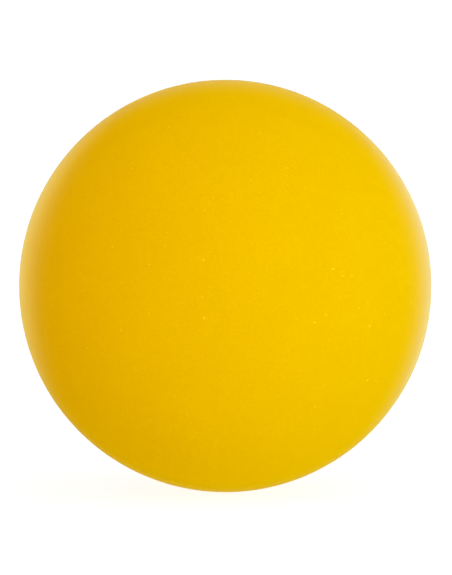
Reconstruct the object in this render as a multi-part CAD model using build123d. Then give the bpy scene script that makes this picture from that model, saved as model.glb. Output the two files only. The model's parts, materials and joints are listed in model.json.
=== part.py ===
from build123d import *
import os

# Dodgeball of coated foam.
#
# A soft foam ball is moulded in one piece and carries a skin that is sprayed on in two coats. The base coat
# fills the open cells of the foam and gives the skin its tear strength. The colour coat lies on it, and is the
# smooth satin surface that is seen and held. Each coat is bonded to the whole face of the piece under it.
#
# Lengths are in millimetres. The origin is the centre of the ball, and +Z is up.

# The ball over its finished skin
BALL_DIAMETER = 178.0

# The coats of the skin
BASE_COAT_THICKNESS = 0.6
COLOUR_COAT_THICKNESS = 0.2

# The foam is moulded smaller than the ball, by the skin on each side
SKIN_THICKNESS = BASE_COAT_THICKNESS + COLOUR_COAT_THICKNESS
CORE_RADIUS = BALL_DIAMETER / 2 - SKIN_THICKNESS

PARTS_FOLDER = "parts"


def foam_core():
    """The moulded foam, solid to its centre: a half disc turned about the vertical axis."""
    with BuildPart() as core:
        with BuildSketch(Plane.XZ):
            with BuildLine():
                outline = CenterArc((0, 0), CORE_RADIUS, start_angle=-90, arc_size=180)
                Line(outline @ 1, outline @ 0)
            make_face()
        revolve(axis=Axis.Z)
    return core.part


def coat_on(piece, thickness):
    """A coat of even thickness, grown outwards from the outer face of the piece that it covers."""
    outer_face = piece.faces().sort_by(SortBy.AREA)[-1]
    return thicken(outer_face, amount=thickness)


def ball():
    """The pieces by name, in the order in which they are made, from the centre outwards."""
    core = foam_core()
    base_coat = coat_on(core, BASE_COAT_THICKNESS)
    colour_coat = coat_on(base_coat, COLOUR_COAT_THICKNESS)
    return {"foam_core": core, "base_coat": base_coat, "colour_coat": colour_coat}


def write_pieces(pieces):
    """Write each piece to a file of its own name, and print its wall and size."""
    os.makedirs(PARTS_FOLDER, exist_ok=True)
    for name, piece in pieces.items():
        piece.label = name
        export_step(piece, os.path.join(PARTS_FOLDER, f"{name}.step"))
        print(f"{name}: {piece.bounding_box().size.X:.2f} mm across, {piece.volume / 1000:.1f} cm3")


write_pieces(ball())
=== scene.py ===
"""Dresses the coated foam dodgeball and sets it in a plain studio.

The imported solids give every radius. Three closed meshes stand for them, from the centre outwards: the
moulded foam, the base coat that seals it, and the yellow colour coat that is seen and held. Lengths are in
metres, the origin is the centre of the ball, +Z is up, and the photograph looks along +Y.
"""

import json
import logging
import math
from abc import ABC, abstractmethod
from dataclasses import dataclass
from enum import Enum

import bpy
import numpy as np
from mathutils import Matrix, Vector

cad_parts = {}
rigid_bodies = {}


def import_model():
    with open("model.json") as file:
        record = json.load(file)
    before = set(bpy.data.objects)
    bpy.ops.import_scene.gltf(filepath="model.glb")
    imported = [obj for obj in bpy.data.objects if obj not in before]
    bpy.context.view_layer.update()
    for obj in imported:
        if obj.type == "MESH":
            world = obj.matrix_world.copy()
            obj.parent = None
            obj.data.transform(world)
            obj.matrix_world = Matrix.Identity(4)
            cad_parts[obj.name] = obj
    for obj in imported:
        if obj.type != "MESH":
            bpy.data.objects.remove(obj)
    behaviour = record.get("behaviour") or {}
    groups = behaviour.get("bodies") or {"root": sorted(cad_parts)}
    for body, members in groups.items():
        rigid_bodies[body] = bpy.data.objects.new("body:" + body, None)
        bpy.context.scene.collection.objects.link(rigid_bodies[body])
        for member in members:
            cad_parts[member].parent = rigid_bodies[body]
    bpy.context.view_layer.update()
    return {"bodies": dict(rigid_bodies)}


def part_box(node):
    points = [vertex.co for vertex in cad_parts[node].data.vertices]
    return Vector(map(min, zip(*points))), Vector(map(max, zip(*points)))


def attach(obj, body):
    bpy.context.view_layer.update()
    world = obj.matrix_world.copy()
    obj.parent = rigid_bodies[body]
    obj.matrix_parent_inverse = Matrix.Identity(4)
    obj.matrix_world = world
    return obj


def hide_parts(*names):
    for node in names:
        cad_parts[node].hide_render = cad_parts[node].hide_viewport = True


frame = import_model()

LOG = logging.getLogger("dodgeball")
MM = 0.001
MAP_NAME = "OFBake"

Colour = tuple[float, float, float]
Value = float | Colour | bpy.types.NodeSocket

# Ranges that hold most, and nearly all, of the values of a noise from 0 to 1.
MOST_OF_NOISE = (0.35, 0.65)
NEARLY_ALL_OF_NOISE = (0.3, 0.7)

# Sockets of a Mix node that mixes colours, by number because their names repeat.
MIX_SHARE, MIX_FIRST, MIX_SECOND, MIX_RESULT = 0, 6, 7, 2

# Parts of a grid's step: points of the grid that lie within one of them are the same point.
STEP_PARTS = 1000

# Degrees round to the far side of the ball, where the camera's side is 0.
BEHIND = 180.0

# Degrees that raise the view of a camera or a lamp from straight down to level.
LEVEL = 90.0


class Layer(Enum):
    """The ball's layers from the centre outwards, each by the name of its solid."""

    FOAM = "foam_core"
    BASE = "base_coat"
    COLOUR = "colour_coat"


class Wall(Enum):
    """Which wall of a layer a face is."""

    OUTER = "outer"
    INNER = "inner"


class Tint(Enum):
    """Colours of the studio's light: through white cloth, in the warm shade, and plain."""

    CLOTH = (0.92, 1.0, 1.0)
    SHADE = (1.0, 0.5, 0.5)
    PLAIN = (1.0, 1.0, 1.0)


class Ray(Enum):
    """Kinds of ray that the world and the floor tell apart, by the name of the Light Path output."""

    CAMERA = "Is Camera Ray"
    GLOSSY = "Is Glossy Ray"
    TRANSMISSION = "Is Transmission Ray"


def add_node(
    tree: bpy.types.NodeTree,
    kind: str,
    inputs: dict[str | int, Value] | None = None,
    **settings: str | bool | float,
) -> bpy.types.Node:
    """Add a node, set its options and fill its inputs.

    Args:
        tree: The tree that gets the node.
        kind: The node's type name, without the leading "ShaderNode".
        inputs: For each socket, by name or number, a plain value or the socket that is linked to it.
        **settings: The node's own options, such as a Math node's operation.

    Returns:
        The new node.
    """
    node = tree.nodes.new(f"ShaderNode{kind}")
    for name, setting in settings.items():
        setattr(node, name, setting)
    for name, value in (inputs or {}).items():
        socket = node.inputs[name]
        if isinstance(value, bpy.types.NodeSocket):
            tree.links.new(value, socket)
        elif isinstance(value, tuple) and len(socket.default_value) == 4:
            socket.default_value = (*value, 1.0)
        else:
            socket.default_value = value
    return node


def arithmetic(
    tree: bpy.types.NodeTree, operation: str, first: Value, second: Value = 0.0, clamp: bool = False
) -> bpy.types.NodeSocket:
    """Add a Math node and return its result, which clamp holds between 0 and 1."""
    node = add_node(tree, "Math", {0: first, 1: second}, operation=operation, use_clamp=clamp)
    return node.outputs["Value"]


def spread(
    tree: bpy.types.NodeTree, value: Value, start: tuple[float, float], end: tuple[float, float]
) -> bpy.types.NodeSocket:
    """Carry a value smoothly from one range to another and hold it at the ends.

    Args:
        tree: The tree that gets the node.
        value: The value to carry over.
        start: The range that it comes from.
        end: The range that it goes to.

    Returns:
        The result's socket.
    """
    ends = {"From Min": start[0], "From Max": start[1], "To Min": end[0], "To Max": end[1]}
    node = add_node(tree, "MapRange", {"Value": value, **ends}, interpolation_type="SMOOTHSTEP")
    return node.outputs["Result"]


def blend_colours(
    tree: bpy.types.NodeTree, share: Value, first: Value, second: Value
) -> bpy.types.NodeSocket:
    """Mix two colours, where share is how much of the second one shows."""
    inputs = {MIX_SHARE: share, MIX_FIRST: first, MIX_SECOND: second}
    return add_node(tree, "Mix", inputs, data_type="RGBA").outputs[MIX_RESULT]


def weigh(tree: bpy.types.NodeTree, share: Value, first: Value, second: Value) -> bpy.types.NodeSocket:
    """Average two values: the second times its share, plus the first times the rest.

    Args:
        tree: The tree that gets the nodes.
        share: The weight of the second value, from 0 to 1.
        first: The first value.
        second: The second value.

    Returns:
        The average's socket.
    """
    rest = arithmetic(tree, "SUBTRACT", 1.0, share)
    first_part = arithmetic(tree, "MULTIPLY", first, rest)
    second_part = arithmetic(tree, "MULTIPLY", second, share)
    return arithmetic(tree, "ADD", first_part, second_part)


def noise(tree: bpy.types.NodeTree, position: Value, width: Value, detail: float) -> bpy.types.Node:
    """Add noise whose features are about as wide as width, with octaves of finer detail on them."""
    scale = arithmetic(tree, "DIVIDE", 1.0, width)
    return add_node(tree, "TexNoise", {"Vector": position, "Scale": scale, "Detail": detail})


def relief(tree: bpy.types.NodeTree, height: Value, depth: float) -> bpy.types.NodeSocket:
    """Turn a height from 0 to 1 into the normals of a relief of some depth."""
    bump = add_node(tree, "Bump", {"Height": height, "Strength": 1.0, "Distance": depth})
    return bump.outputs["Normal"]


class SurfaceEffect(ABC):
    """A shader node group that finishes share, built once and placed with each finish's own values.

    Attributes:
        name: The group's name.
        inputs: The numbers that a finish gives it, besides the position, and their defaults.
        outputs: The numbers that it puts out.
    """

    name: str
    inputs: dict[str, float]
    outputs: tuple[str, ...]

    def group(self) -> bpy.types.NodeTree:
        """Find the group, or build it the first time that it is asked for.

        Returns:
            The node group.
        """
        known = bpy.data.node_groups.get(self.name)
        if known is not None:
            return known
        tree = bpy.data.node_groups.new(self.name, "ShaderNodeTree")
        tree.interface.new_socket("Position", in_out="INPUT", socket_type="NodeSocketVector")
        for name, value in self.inputs.items():
            socket = tree.interface.new_socket(name, in_out="INPUT", socket_type="NodeSocketFloat")
            socket.default_value = value
        for name in self.outputs:
            tree.interface.new_socket(name, in_out="OUTPUT", socket_type="NodeSocketFloat")
        given = tree.nodes.new("NodeGroupInput")
        wanted = tree.nodes.new("NodeGroupOutput")
        for name, socket in self.draw(tree, given.outputs).items():
            tree.links.new(socket, wanted.inputs[name])
        return tree

    def place(
        self, tree: bpy.types.NodeTree, position: bpy.types.NodeSocket, **values: float
    ) -> bpy.types.bpy_prop_collection:
        """Put the effect into a material.

        Args:
            tree: The material's node tree.
            position: The place on the piece.
            **values: The group's inputs, with underscores for spaces.

        Returns:
            The placed group's outputs.
        """
        node = tree.nodes.new("ShaderNodeGroup")
        node.node_tree = self.group()
        tree.links.new(position, node.inputs["Position"])
        for name, value in values.items():
            node.inputs[name.replace("_", " ")].default_value = value
        return node.outputs

    @abstractmethod
    def draw(
        self, tree: bpy.types.NodeTree, given: bpy.types.bpy_prop_collection
    ) -> dict[str, bpy.types.NodeSocket]:
        """Add the group's nodes and return the socket for each output."""


class ToneDrift(SurfaceEffect):
    """Slow drift of tone from place to place, as pigment and spray leave it.

    Attributes:
        detail: Octaves of finer detail in its noise.
    """

    name = "tone_drift"
    inputs = {"Patch Size": 30 * MM}
    outputs = ("Drift",)
    detail: float = 2.0

    def draw(
        self, tree: bpy.types.NodeTree, given: bpy.types.bpy_prop_collection
    ) -> dict[str, bpy.types.NodeSocket]:
        """Noise whose patches are about as wide as Patch Size.

        Args:
            tree: The group's tree.
            given: The group's inputs.

        Returns:
            Drift, from 0 to 1.
        """
        patches = noise(tree, given["Position"], given["Patch Size"], self.detail)
        return {"Drift": patches.outputs["Fac"]}


class SprayGrain(SurfaceEffect):
    """Fine grain of dried spray over the slow swells of orange peel.

    Attributes:
        detail: Octaves of finer detail in its noises.
    """

    name = "spray_grain"
    inputs = {"Grain Size": 1 * MM, "Peel Size": 5 * MM, "Peel Share": 0.5}
    outputs = ("Height",)
    detail: float = 1.0

    def draw(
        self, tree: bpy.types.NodeTree, given: bpy.types.bpy_prop_collection
    ) -> dict[str, bpy.types.NodeSocket]:
        """Two noises at the two sizes, added in the shares that Peel Share gives.

        Args:
            tree: The group's tree.
            given: The group's inputs.

        Returns:
            Height, from 0 to 1.
        """
        grain, peel = (
            noise(tree, given["Position"], given[size], self.detail).outputs["Fac"]
            for size in ("Grain Size", "Peel Size")
        )
        return {"Height": weigh(tree, given["Peel Share"], grain, peel)}


class PaleSpecks(SurfaceEffect):
    """Sparse pale specks: small spots of a lighter colour in the skin.

    Attributes:
        detail: Octaves of finer detail in the noise of their edges.
        raggedness: How far that noise can shift a place along an axis, in radii.
        rarity: The power that makes bright specks rare.
        firmness: How much steeper a speck's edge is than one that fades evenly to its middle.
    """

    name = "pale_specks"
    inputs = {"Spacing": 7 * MM, "Radius": 0.4 * MM}
    outputs = ("Mask",)
    detail: float = 1.0
    raggedness: float = 2.0
    rarity: float = 2.0
    firmness: float = 2.0

    def draw(
        self, tree: bpy.types.NodeTree, given: bpy.types.bpy_prop_collection
    ) -> dict[str, bpy.types.NodeSocket]:
        """Points scattered through space, of which the skin cuts the few that lie within Radius of it.

        Noise of the specks' own size shifts the place that is looked up, which makes their edges ragged.
        Each cell of the scatter has a strength of its own, raised to a power so that few specks are bright.

        Args:
            tree: The group's tree.
            given: The group's inputs.

        Returns:
            Mask, from 0 on bare skin to 1 in a bright speck.
        """
        wobble = noise(tree, given["Position"], given["Radius"], self.detail).outputs["Color"]
        shift = arithmetic(tree, "MULTIPLY", given["Radius"], self.raggedness)
        ragged = add_node(
            tree, "VectorMath", {0: wobble, 1: shift, 2: given["Position"]}, operation="MULTIPLY_ADD"
        )
        scale = arithmetic(tree, "DIVIDE", 1.0, given["Spacing"])
        cells = add_node(tree, "TexVoronoi", {"Vector": ragged.outputs["Vector"], "Scale": scale})
        reach = arithmetic(tree, "DIVIDE", given["Radius"], given["Spacing"])
        distance = arithmetic(tree, "DIVIDE", cells.outputs["Distance"], reach)
        nearness = arithmetic(tree, "SUBTRACT", 1.0, distance, clamp=True)
        shape = arithmetic(tree, "MULTIPLY", nearness, self.firmness, clamp=True)
        luck = add_node(tree, "SeparateColor", {"Color": cells.outputs["Color"]}).outputs["Red"]
        strength = arithmetic(tree, "POWER", luck, self.rarity)
        return {"Mask": arithmetic(tree, "MULTIPLY", shape, strength)}


class OpenCells(SurfaceEffect):
    """Cells of foam, with thin walls between hollows.

    Attributes:
        wall_foot: How far a wall's foot reaches into its cell, as a share of the cell's size.
    """

    name = "open_cells"
    inputs = {"Cell Size": 1 * MM}
    outputs = ("Wall",)
    wall_foot: float = 0.28

    def draw(
        self, tree: bpy.types.NodeTree, given: bpy.types.bpy_prop_collection
    ) -> dict[str, bpy.types.NodeSocket]:
        """The distance to the nearest wall of a scatter of cells, turned over.

        Args:
            tree: The group's tree.
            given: The group's inputs.

        Returns:
            Wall, from 0 in the middle of a hollow to 1 on a wall.
        """
        scale = arithmetic(tree, "DIVIDE", 1.0, given["Cell Size"])
        cells = add_node(
            tree, "TexVoronoi", {"Vector": given["Position"], "Scale": scale}, feature="DISTANCE_TO_EDGE"
        )
        return {"Wall": spread(tree, cells.outputs["Distance"], (0.0, self.wall_foot), (1.0, 0.0))}


class Finish(ABC):
    """The look of one layer, as a procedural material on the piece's own Object coordinates."""

    name: str

    def material(self) -> bpy.types.Material:
        """Build the material.

        Returns:
            A material whose Principled BSDF the finish has filled in.
        """
        made = bpy.data.materials.new(self.name)
        made.use_nodes = True
        tree = made.node_tree
        tree.nodes.clear()
        shader = tree.nodes.new("ShaderNodeBsdfPrincipled")
        output = tree.nodes.new("ShaderNodeOutputMaterial")
        tree.links.new(shader.outputs["BSDF"], output.inputs["Surface"])
        self.paint(tree, shader.inputs, tree.nodes.new("ShaderNodeTexCoord").outputs["Object"])
        return made

    @abstractmethod
    def paint(
        self,
        tree: bpy.types.NodeTree,
        shader: bpy.types.bpy_prop_collection,
        position: bpy.types.NodeSocket,
    ) -> None:
        """Fill the shader's sockets."""


@dataclass(frozen=True)
class YellowSkin(Finish):
    """The colour coat: satin yellow elastomer with a very fine grain and some pale specks.

    Attributes:
        name: The material's name.
        deep: Colour in the hollows of the grain, darker: painted shade of the grain's relief.
        light: Colour on the tops of the grain, lighter: painted light on the relief's tops.
        speck: Colour of a speck.
        satin: Roughness between the grain and on it.
        refraction: Index of refraction of the elastomer.
        patch_size: Width of the patches that the tone drifts over.
        speck_spacing: Distance between the points that specks are cut from.
        speck_radius: Radius of the largest specks.
        grain_size: Width of the grain.
        peel_size: Width of the swells under the grain.
        peel_share: The swells' share of the relief.
        grain_share: The grain's share of the tone, which paints shade into the grain's hollows; the rest is
            the drift's.
        grain_depth: How deep the grain goes.
    """

    name: str = "yellow_satin_skin"
    deep: Colour = (0.84, 0.445, 0.0)
    light: Colour = (0.985, 0.606, 0.0)
    speck: Colour = (1.0, 0.77, 0.07)
    satin: tuple[float, float] = (0.28, 0.34)
    refraction: float = 1.5
    patch_size: float = 24 * MM
    speck_spacing: float = 3.7 * MM
    speck_radius: float = 0.46 * MM
    grain_size: float = 0.55 * MM
    peel_size: float = 4.5 * MM
    peel_share: float = 0.1
    grain_share: float = 0.8
    grain_depth: float = 0.05 * MM

    def paint(
        self,
        tree: bpy.types.NodeTree,
        shader: bpy.types.bpy_prop_collection,
        position: bpy.types.NodeSocket,
    ) -> None:
        """Yellow and satin that follow the grain, the yellow darker in its hollows as painted shade, with a
        little drift of tone and specks on top.

        Args:
            tree: The material's node tree.
            shader: The shader's inputs.
            position: The place on the piece.
        """
        drift = ToneDrift().place(tree, position, Patch_Size=self.patch_size)["Drift"]
        specks = PaleSpecks().place(
            tree, position, Spacing=self.speck_spacing, Radius=self.speck_radius
        )["Mask"]
        grain = SprayGrain().place(
            tree, position, Grain_Size=self.grain_size, Peel_Size=self.peel_size, Peel_Share=self.peel_share
        )["Height"]
        # Painted shade: the grain's height darkens the yellow in its hollows and lightens it on its tops,
        # with a little random drift mixed in.
        tone = weigh(tree, self.grain_share, drift, grain)
        skin = blend_colours(tree, tone, self.deep, self.light)
        tree.links.new(blend_colours(tree, specks, skin, self.speck), shader["Base Color"])
        tree.links.new(spread(tree, grain, MOST_OF_NOISE, self.satin), shader["Roughness"])
        tree.links.new(relief(tree, grain, self.grain_depth), shader["Normal"])
        shader["IOR"].default_value = self.refraction


@dataclass(frozen=True)
class BaseElastomer(Finish):
    """The base coat: clear honey-coloured elastomer, left rough so that the colour coat keys to it.

    Attributes:
        name: The material's name.
        thick: Colour where the coat lies thick.
        thin: Colour where the foam shows through.
        keyed: Roughness between the grain and on it.
        patch_size: Width of the patches of thick and thin.
        grain_size: Width of the grain.
        peel_size: Width of the swells under the grain.
        peel_share: The swells' share of the relief.
        grain_depth: How deep the grain goes.
    """

    name: str = "honey_base_elastomer"
    thick: Colour = (0.72, 0.5, 0.16)
    thin: Colour = (0.84, 0.68, 0.34)
    keyed: tuple[float, float] = (0.5, 0.7)
    patch_size: float = 12 * MM
    grain_size: float = 1.2 * MM
    peel_size: float = 6 * MM
    peel_share: float = 0.4
    grain_depth: float = 0.04 * MM

    def paint(
        self,
        tree: bpy.types.NodeTree,
        shader: bpy.types.bpy_prop_collection,
        position: bpy.types.NodeSocket,
    ) -> None:
        """Honey colour that pales where the coat is thin, over a coarse spray grain.

        Args:
            tree: The material's node tree.
            shader: The shader's inputs.
            position: The place on the piece.
        """
        drift = ToneDrift().place(tree, position, Patch_Size=self.patch_size)["Drift"]
        grain = SprayGrain().place(
            tree, position, Grain_Size=self.grain_size, Peel_Size=self.peel_size, Peel_Share=self.peel_share
        )["Height"]
        thinness = spread(tree, drift, MOST_OF_NOISE, (0.0, 1.0))
        tree.links.new(blend_colours(tree, thinness, self.thick, self.thin), shader["Base Color"])
        tree.links.new(spread(tree, grain, NEARLY_ALL_OF_NOISE, self.keyed), shader["Roughness"])
        tree.links.new(relief(tree, grain, self.grain_depth), shader["Normal"])


@dataclass(frozen=True)
class MouldedFoam(Finish):
    """The core: pale open-cell foam as it comes from the mould.

    Attributes:
        name: The material's name.
        hollow: Colour inside a cell, darker: painted shade in the cell's hollow.
        wall: Colour of the wall between cells.
        aged: Colour where the foam has yellowed.
        matt: Roughness all over.
        patch_size: Width of the patches that have yellowed more and less.
        cell_size: Width of a cell.
        cell_depth: How deep the cells go.
    """

    name: str = "pale_moulded_foam"
    hollow: Colour = (0.6, 0.47, 0.25)
    wall: Colour = (0.86, 0.76, 0.52)
    aged: Colour = (0.8, 0.64, 0.34)
    matt: float = 0.95
    patch_size: float = 40 * MM
    cell_size: float = 1.4 * MM
    cell_depth: float = 0.35 * MM

    def paint(
        self,
        tree: bpy.types.NodeTree,
        shader: bpy.types.bpy_prop_collection,
        position: bpy.types.NodeSocket,
    ) -> None:
        """Cells with pale walls and hollows darkened by painted shade, in patches that have yellowed more
        and less.

        Args:
            tree: The material's node tree.
            shader: The shader's inputs.
            position: The place on the piece.
        """
        drift = ToneDrift().place(tree, position, Patch_Size=self.patch_size)["Drift"]
        cells = OpenCells().place(tree, position, Cell_Size=self.cell_size)["Wall"]
        walls = blend_colours(tree, drift, self.wall, self.aged)
        # Painted shade: the hollows of the cells take a darker colour than the walls.
        tree.links.new(blend_colours(tree, cells, self.hollow, walls), shader["Base Color"])
        tree.links.new(relief(tree, cells, self.cell_depth), shader["Normal"])
        shader["Roughness"].default_value = self.matt


@dataclass(frozen=True)
class Ripples:
    """Gentle unevenness of a moulded or sprayed face.

    Attributes:
        seed: Start of the random draws.
        wavelengths: The shortest and the longest ripple.
        height: Root mean square of the unevenness.
        count: How many ripples cross one another.
    """

    seed: int
    wavelengths: tuple[float, float]
    height: float
    count: int = 64

    def over(self, places: np.ndarray) -> np.ndarray:
        """Work out the unevenness at some places.

        It is a sum of plane waves. Each wave has a random heading, a random phase and a wavelength from the
        range, and its height at a place is the cosine of the place's distance along the heading, in
        wavelengths, times two pi, plus the phase. The sum is scaled to the root mean square asked for.

        Args:
            places: Points, one row each.

        Returns:
            The height of each point.
        """
        draws = np.random.default_rng(self.seed)
        headings = draws.normal(size=(3, self.count))
        headings /= np.linalg.norm(headings, axis=0)
        wavelengths = np.geomspace(*self.wavelengths, self.count)
        phases = draws.uniform(0.0, 2 * math.pi, self.count)
        waves = np.cos(2 * math.pi * (places @ headings) / wavelengths + phases)
        return self.height * math.sqrt(2 / self.count) * waves.sum(axis=1)


@dataclass(frozen=True)
class RoundFace:
    """A face of the ball: a sphere with a little unevenness, on a grid without poles.

    Attributes:
        radius: Radius of the sphere.
        steps: Squares along each edge of the cube that the grid comes from.
        ripples: The unevenness of the face.
    """

    radius: float
    steps: int
    ripples: Ripples

    def grid(self) -> tuple[np.ndarray, np.ndarray, np.ndarray]:
        """Work out the face's points and squares.

        The grid is the six sides of a cube blown up to a sphere. On a side the two parameters run from -45
        to 45 degrees, and their tangents are a place on the side of the cube. That place divided by its
        distance from the centre is a direction, and the radius plus the unevenness there is how far out the
        point lies. Points that two or three sides share are made one, which closes every seam.

        Returns:
            Points, one row each; squares, as four point numbers that run counter-clockwise seen from
            outside; and the two parameters of each square's corners, from 0 to 1, by side, square, corner
            and parameter.
        """
        ends = np.eye(3)
        normals = np.concatenate([ends, -ends])
        across = np.concatenate([np.roll(ends, -1, axis=0)] * 2)
        along = np.concatenate([np.roll(ends, -2, axis=0), -np.roll(ends, -2, axis=0)])
        share = np.linspace(0.0, 1.0, self.steps + 1)
        tangent = np.tan((share - 0.5) * math.pi / 2)
        cube = (
            normals[:, None, None]
            + tangent[None, None, :, None] * across[:, None, None]
            + tangent[None, :, None, None] * along[:, None, None]
        )
        directions = (cube / np.linalg.norm(cube, axis=-1, keepdims=True)).reshape(-1, 3)
        rounded = np.round(directions / self.closest)
        kept, number = np.unique(rounded, axis=0, return_index=True, return_inverse=True)[1:]
        directions = directions[kept]
        height = self.radius + self.ripples.over(self.radius * directions)
        points = directions * height[:, None]
        table = number.reshape(len(normals), self.steps + 1, self.steps + 1)
        corners = (slice(None, -1), slice(1, None))
        order = ((0, 0), (0, 1), (1, 1), (1, 0))
        squares = np.stack([table[:, corners[row], corners[column]] for row, column in order], axis=-1)
        column_share, row_share = np.meshgrid(share, share)
        places = np.stack(
            [
                np.stack([grid[corners[row], corners[column]] for row, column in order], axis=-1)
                for grid in (column_share, row_share)
            ],
            axis=-1,
        )
        places = np.broadcast_to(places, (len(normals), *places.shape))
        return points, squares.reshape(-1, 4), places.reshape(len(normals), -1, 4, 2)

    @property
    def closest(self) -> float:
        """Distance on the unit sphere under which two points of the grid count as one."""
        return 1.0 / (STEP_PARTS * self.steps)


@dataclass(frozen=True)
class MapRoom:
    """The part of a piece's texture map that one wall is given, with a cell for each side of the grid.

    Attributes:
        low: Lower left corner.
        high: Upper right corner.
        columns: Cells across.
        rows: Cells up.
        margin: Bare border of a cell, as a share of it.
    """

    low: tuple[float, float]
    high: tuple[float, float]
    columns: int
    rows: int
    margin: float = 0.012

    def lay_out(self, places: np.ndarray) -> np.ndarray:
        """Put each side of the grid in its cell.

        A corner's place is the room's lower left corner plus the size of a cell times a sum: the cell's
        number across and up, and the two parameters drawn in by the margin.

        Args:
            places: The parameters of each square's corners, by side, square, corner and parameter.

        Returns:
            The same, as places on the map.
        """
        side = np.arange(self.columns * self.rows)
        cell = np.stack([side % self.columns, side // self.columns], axis=-1)[:, None, None, :]
        size = (np.array(self.high) - self.low) / (self.columns, self.rows)
        return self.low + (cell + self.margin + places * (1 - 2 * self.margin)) * size


# Height of the strip at the foot of the map that the inner wall is given.
INNER_STRIP = 0.125
MAP_ROOMS = {
    Wall.OUTER: MapRoom(low=(0.0, INNER_STRIP), high=(1.0, 1.0), columns=3, rows=2),
    Wall.INNER: MapRoom(low=(0.0, 0.0), high=(1.0, INNER_STRIP), columns=6, rows=1),
}


@dataclass(frozen=True)
class BallLayer:
    """One layer of the ball as a closed mesh.

    Attributes:
        layer: Which layer it is.
        name: The piece's name.
        slot: The record's material slot that its finish belongs to; not used.
        finish: Its look.
        outside: Its outer face.
        inside: Its inner face, which is the outer face of the layer under it. The core has none.
    """

    layer: Layer
    name: str
    slot: str
    finish: Finish
    outside: RoundFace
    inside: RoundFace | None = None

    def build(self) -> bpy.types.Object:
        """Make the piece in the place of its solid.

        The squares of the inner face are turned over, so that they look out of the layer's material.

        Returns:
            The piece, at the origin, with its place in its mesh.
        """
        points, squares, places = self.outside.grid()
        corners = MAP_ROOMS[Wall.OUTER].lay_out(places).reshape(-1, 4, 2)
        if self.inside is not None:
            inner_points, inner_squares, inner_places = self.inside.grid()
            inner_corners = MAP_ROOMS[Wall.INNER].lay_out(inner_places).reshape(-1, 4, 2)
            squares = np.concatenate([squares, inner_squares[:, ::-1] + len(points)])
            corners = np.concatenate([corners, inner_corners[:, ::-1]])
            points = np.concatenate([points, inner_points])
        mesh = bpy.data.meshes.new(self.name)
        mesh.from_pydata(points, [], squares)
        mesh.polygons.foreach_set("use_smooth", np.ones(len(squares), dtype=bool))
        mesh.uv_layers.new(name=MAP_NAME).uv.foreach_set("vector", corners.astype(np.float32).ravel())
        mesh.update()
        piece = bpy.data.objects.new(self.name, mesh)
        bpy.context.scene.collection.objects.link(piece)
        return piece

    def dress(self, piece: bpy.types.Object) -> None:
        """Give the piece that build made its finish."""
        piece.data.materials.append(self.finish.material())

    def join_frame(self, piece: bpy.types.Object, body: str) -> None:
        """Hide the solid that the piece stands for, and hang the piece on the body that it moves with.

        Args:
            piece: The piece that build made.
            body: The body that carries it.
        """
        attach(piece, body)
        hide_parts(self.layer.value)


def solid_radius(layer: Layer) -> float:
    """Read a layer's outer radius from its solid, as half of the widest side of the solid's box."""
    low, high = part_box(layer.value)
    return max(top - bottom for bottom, top in zip(low, high)) / 2


@dataclass(frozen=True)
class Dodgeball:
    """The whole ball: foam, base coat and colour coat, each bonded to the face of the one inside it.

    Attributes:
        core_radius: Radius of the foam.
        base_radius: Radius over the base coat.
        ball_radius: Radius over the colour coat.
        body: The body that carries it.
        inner_steps: Squares along a side of the grids of the foam and the base coat.
        skin_steps: Squares along a side of the grid of the colour coat.
        foam_ripples: Unevenness of the foam.
        base_ripples: Unevenness of the base coat.
        skin_ripples: Unevenness of the colour coat.
    """

    core_radius: float
    base_radius: float
    ball_radius: float
    body: str
    inner_steps: int = 64
    skin_steps: int = 108
    foam_ripples: Ripples = Ripples(seed=11, wavelengths=(18 * MM, 90 * MM), height=0.03 * MM)
    base_ripples: Ripples = Ripples(seed=12, wavelengths=(12 * MM, 60 * MM), height=0.02 * MM)
    skin_ripples: Ripples = Ripples(seed=13, wavelengths=(6 * MM, 40 * MM), height=0.008 * MM)

    def layers(self) -> list[BallLayer]:
        """Work out the layers, which share the faces where they meet.

        Returns:
            The layers from the centre outwards.
        """
        foam = RoundFace(self.core_radius, self.inner_steps, self.foam_ripples)
        base = RoundFace(self.base_radius, self.inner_steps, self.base_ripples)
        skin = RoundFace(self.ball_radius, self.skin_steps, self.skin_ripples)
        return [
            BallLayer(Layer.FOAM, "core_foam", "foam", MouldedFoam(), foam),
            BallLayer(Layer.BASE, "skin_base_coat", "base_elastomer", BaseElastomer(), base, foam),
            BallLayer(Layer.COLOUR, "skin_colour_coat", "yellow_skin", YellowSkin(), skin, base),
        ]

    def build(self) -> list[bpy.types.Object]:
        """Build and dress every layer.

        Returns:
            The pieces from the centre outwards.
        """
        pieces = []
        for layer in self.layers():
            piece = layer.build()
            layer.dress(piece)
            layer.join_frame(piece, self.body)
            pieces.append(piece)
            mesh = piece.data
            LOG.info("%s: %d points, %d squares", piece.name, len(mesh.vertices), len(mesh.polygons))
        return pieces


def place_round(azimuth: float, elevation: float, distance: float) -> tuple[float, float, float]:
    """Find a place round the ball.

    Args:
        azimuth: Degrees to the right of the camera's side.
        elevation: Degrees above the ball's centre.
        distance: Distance from the ball's centre.

    Returns:
        The place.
    """
    turn, rise = math.radians(azimuth), math.radians(elevation)
    level = distance * math.cos(rise)
    return level * math.sin(turn), -level * math.cos(turn), distance * math.sin(rise)


def seen_rays(tree: bpy.types.NodeTree, *kinds: Ray) -> bpy.types.NodeSocket:
    """Tell whether a ray is one of some kinds.

    Args:
        tree: The node tree of the world or of a stage material.
        *kinds: The kinds of ray.

    Returns:
        A socket that is 1 for those rays and 0 for others.
    """
    path = tree.nodes.new("ShaderNodeLightPath")
    total: Value = 0.0
    for kind in kinds:
        total = arithmetic(tree, "ADD", path.outputs[kind.value], total, clamp=True)
    return total


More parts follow.
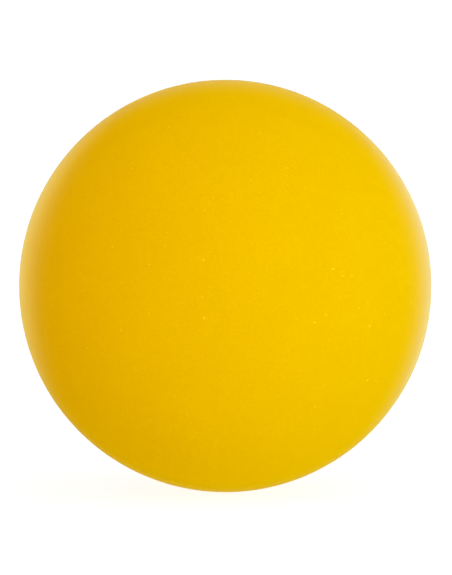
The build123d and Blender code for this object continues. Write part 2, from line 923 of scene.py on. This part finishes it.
@dataclass(frozen=True)
class Glow:
    """A soft round patch of lit backdrop, as the skin mirrors it.

    Attributes:
        azimuth: Degrees to the right of straight behind the ball.
        elevation: Degrees above the ball's centre.
        full: Degrees from its middle within which it is at its brightest.
        faded: Degrees from its middle at which it has faded out.
        colour: What it adds to the room.
    """

    azimuth: float
    elevation: float
    full: float
    faded: float
    colour: Colour

    def add_to(
        self, tree: bpy.types.NodeTree, way: bpy.types.NodeSocket, below: Value
    ) -> bpy.types.NodeSocket:
        """Add the patch to a picture of the surroundings.

        The cosine of the angle between a direction and the patch's middle fades it in from faded to full.

        Args:
            tree: The world's node tree.
            way: The direction.
            below: The colour that the patch is added to.

        Returns:
            The colour with the patch.
        """
        middle = place_round(BEHIND - self.azimuth, self.elevation, distance=1.0)
        near = add_node(tree, "VectorMath", {0: way, 1: middle}, operation="DOT_PRODUCT").outputs["Value"]
        rim, core = math.cos(math.radians(self.faded)), math.cos(math.radians(self.full))
        share = spread(tree, near, (rim, core), (0.0, 1.0))
        patch = add_node(tree, "VectorMath", {0: self.colour, "Scale": share}, operation="SCALE")
        total = add_node(tree, "VectorMath", {0: below, 1: patch.outputs["Vector"]}, operation="ADD")
        return total.outputs["Vector"]


@dataclass(frozen=True)
class Backdrop:
    """The plain white world round the ball, which is seen and casts no light of its own.

    The eye sees plain white. At a grazing angle the skin mirrors the room, which the ball's own light turns
    warm, and the lit patches of the backdrop behind the ball.

    Attributes:
        room: What the skin mirrors of the room.
        glows: What it mirrors of the backdrop on top of that.
        seen: What the eye sees, a shade over white so that a filter of the noise leaves it white.
    """

    room: Colour = (0.7, 0.55, 0.0)
    glows: tuple[Glow, ...] = (
        Glow(azimuth=26.0, elevation=0.0, full=5.0, faded=22.0, colour=(0.2, 0.5, 0.8)),
        Glow(azimuth=-32.0, elevation=4.0, full=0.0, faded=25.0, colour=(0.7, 0.8, 0.4)),
        Glow(azimuth=0.0, elevation=5.0, full=20.0, faded=30.0, colour=(0.0, 0.1, 0.3)),
    )
    seen: Colour = (1.06, 1.06, 1.06)

    def build(self) -> None:
        """Make the world, which only the kinds of ray that are named here see."""
        world = bpy.data.worlds.new("backdrop")
        bpy.context.scene.world = world
        world.use_nodes = True
        tree = world.node_tree
        tree.nodes.clear()
        way = tree.nodes.new("ShaderNodeTexCoord").outputs["Generated"]
        mirrored: Value = self.room
        for glow in self.glows:
            mirrored = glow.add_to(tree, way, mirrored)
        plain = seen_rays(tree, Ray.CAMERA, Ray.TRANSMISSION)
        colour = blend_colours(tree, plain, mirrored, self.seen)
        shown = add_node(tree, "Background", {"Color": colour, "Strength": seen_rays(tree, *Ray)})
        output = tree.nodes.new("ShaderNodeOutputWorld")
        tree.links.new(shown.outputs["Background"], output.inputs["Surface"])


@dataclass(frozen=True)
class Floor:
    """The plain pale floor under the ball.

    Attributes:
        radius: How far it reaches.
        paint: The share of its colour that takes the ball's shadow.
        lift: The share that is seen whatever light falls on it.
        corners: Points of its rim.
    """

    radius: float = 9.0
    paint: float = 0.3
    lift: float = 0.86
    corners: int = 96

    def build(self, height: float) -> bpy.types.Object:
        """Lay the floor.

        The floor is a disc: each point of its rim lies at the radius, at its share of a full turn.

        Args:
            height: Where the floor lies.

        Returns:
            The floor.
        """
        turns = np.linspace(0.0, 2 * math.pi, self.corners, endpoint=False)
        rim = np.stack([np.cos(turns), np.sin(turns), np.zeros_like(turns)], axis=-1) * self.radius
        mesh = bpy.data.meshes.new("floor")
        mesh.from_pydata(rim + (0.0, 0.0, height), [], [list(range(len(rim)))])
        floor = bpy.data.objects.new("floor", mesh)
        bpy.context.scene.collection.objects.link(floor)
        mesh.materials.append(self.material())
        floor.visible_diffuse = False
        floor.visible_glossy = False
        floor.visible_shadow = False
        return floor

    def material(self) -> bpy.types.Material:
        """Build the floor's material.

        Returns:
            Matt paint that takes the ball's shadow, lifted a little for the rays that see it.
        """
        made = bpy.data.materials.new("pale_floor")
        made.use_nodes = True
        tree = made.node_tree
        tree.nodes.clear()
        matt = add_node(tree, "BsdfDiffuse", {"Color": (self.paint,) * 3})
        strength = arithmetic(tree, "MULTIPLY", seen_rays(tree, *Ray), self.lift)
        lift = add_node(tree, "Emission", {"Strength": strength})
        both = add_node(tree, "AddShader", {0: matt.outputs["BSDF"], 1: lift.outputs["Emission"]})
        output = tree.nodes.new("ShaderNodeOutputMaterial")
        tree.links.new(both.outputs["Shader"], output.inputs["Surface"])
        return made


@dataclass(frozen=True)
class TentWall:
    """The light of one lit wall of a light tent, which fills the half of space on its side or a part of it.

    Attributes:
        name: Its name.
        azimuth: Degrees to the right of the camera's side.
        elevation: Degrees above the ball's centre.
        level: How bright a white card at the ball would look, turned to the wall and lit by nothing else.
        tint: Colour of its light.
        width: Degrees of the sky that it fills.
        distance: How far off it hangs, which changes nothing in its light.
    """

    name: str
    azimuth: float
    elevation: float
    level: float
    tint: Tint = Tint.CLOTH
    width: float = 180.0
    distance: float = 1.0

    def build(self) -> bpy.types.Object:
        """Hang the lamp.

        A sun of strength pi makes a white card that faces it look as bright as the sun's colour, and the
        level scales that.

        Returns:
            The lamp, turned to the ball. It shows neither to the eye nor as a highlight.
        """
        light = bpy.data.lights.new(self.name, "SUN")
        light.angle = math.radians(self.width)
        light.color = self.tint.value
        light.energy = math.pi * self.level
        light.cycles.use_multiple_importance_sampling = False
        lamp = bpy.data.objects.new(self.name, light)
        lamp.location = place_round(self.azimuth, self.elevation, self.distance)
        lamp.rotation_euler = (math.radians(LEVEL - self.elevation), 0.0, math.radians(self.azimuth))
        lamp.visible_camera = False
        lamp.visible_glossy = False
        bpy.context.scene.collection.objects.link(lamp)
        return lamp


@dataclass(frozen=True)
class PhotoCamera:
    """A camera that sees the ball as large, and in the same place of the frame, as the photograph does.

    Attributes:
        frame_size: Width and height of the photograph in pixels.
        ball_centre: Where the ball's centre lies in it, from the upper left corner.
        ball_outline: Radius of the ball's outline in it.
        lens: Focal length in millimetres.
        sensor: Length of the sensor's long side in millimetres.
        elevation: Degrees above the ball's centre.
    """

    frame_size: tuple[int, int] = (452, 575)
    ball_centre: tuple[float, float] = (225.3, 286.0)
    ball_outline: float = 206.25
    lens: float = 150.0
    sensor: float = 36.0
    elevation: float = 2.0

    def build(self, ball_radius: float) -> bpy.types.Object:
        """Set up the camera.

        The distance is the ball's radius over the sine of the half angle that the outline fills. The shift
        is how far the ball's centre lies from the middle of the frame, over the frame's height.

        Args:
            ball_radius: The ball's radius.

        Returns:
            The camera, which the scene then uses.
        """
        width, height = self.frame_size
        focal_length = self.lens / self.sensor * height
        distance = ball_radius / math.sin(math.atan(self.ball_outline / focal_length))
        data = bpy.data.cameras.new("photo_camera")
        data.lens = self.lens
        data.sensor_width = self.sensor
        data.shift_x = (width / 2 - self.ball_centre[0]) / height
        data.shift_y = (self.ball_centre[1] - height / 2) / height
        camera = bpy.data.objects.new("photo_camera", data)
        camera.location = place_round(0.0, self.elevation, distance)
        camera.rotation_euler = (math.radians(LEVEL - self.elevation), 0.0, 0.0)
        bpy.context.scene.collection.objects.link(camera)
        bpy.context.scene.camera = camera
        return camera


@dataclass(frozen=True)
class Studio:
    """The plain studio: floor, world, lamps and camera.

    Attributes:
        backdrop: The world.
        floor: The floor.
        lamps: The lamps.
        camera: The camera.
    """

    backdrop: Backdrop = Backdrop()
    floor: Floor = Floor()
    lamps: tuple[TentWall, ...] = (
        TentWall("right_wall", azimuth=90.0, elevation=0.0, level=0.7),
        TentWall("left_wall", azimuth=-90.0, elevation=0.0, level=0.32, tint=Tint.SHADE),
        TentWall("front_wall", azimuth=0.0, elevation=0.0, level=0.51),
        TentWall("top_wall", azimuth=0.0, elevation=90.0, level=0.1),
        TentWall("rear_lamp", azimuth=BEHIND, elevation=0.0, level=0.3, tint=Tint.PLAIN, width=10.0),
    )
    camera: PhotoCamera = PhotoCamera()

    def build(self, ball_radius: float) -> None:
        """Set the studio up round the ball.

        Args:
            ball_radius: The ball's radius.
        """
        bpy.context.scene.view_settings.view_transform = "Standard"
        self.backdrop.build()
        self.floor.build(-ball_radius)
        for wall in self.lamps:
            lamp = wall.build()
            LOG.info("%s stands at %s", lamp.name, tuple(lamp.location))
        camera = self.camera.build(ball_radius)
        LOG.info("%s: %.3f m from the ball's centre", camera.name, camera.location.length)


def main() -> None:
    """Build the ball and then the studio round it."""
    logging.basicConfig(level=logging.INFO, format="%(name)s %(message)s")
    ball = Dodgeball(
        core_radius=solid_radius(Layer.FOAM),
        base_radius=solid_radius(Layer.BASE),
        ball_radius=solid_radius(Layer.COLOUR),
        body=next(iter(frame["bodies"])),
    )
    ball.build()
    Studio().build(ball.ball_radius)


if __name__ == "__main__":
    main()
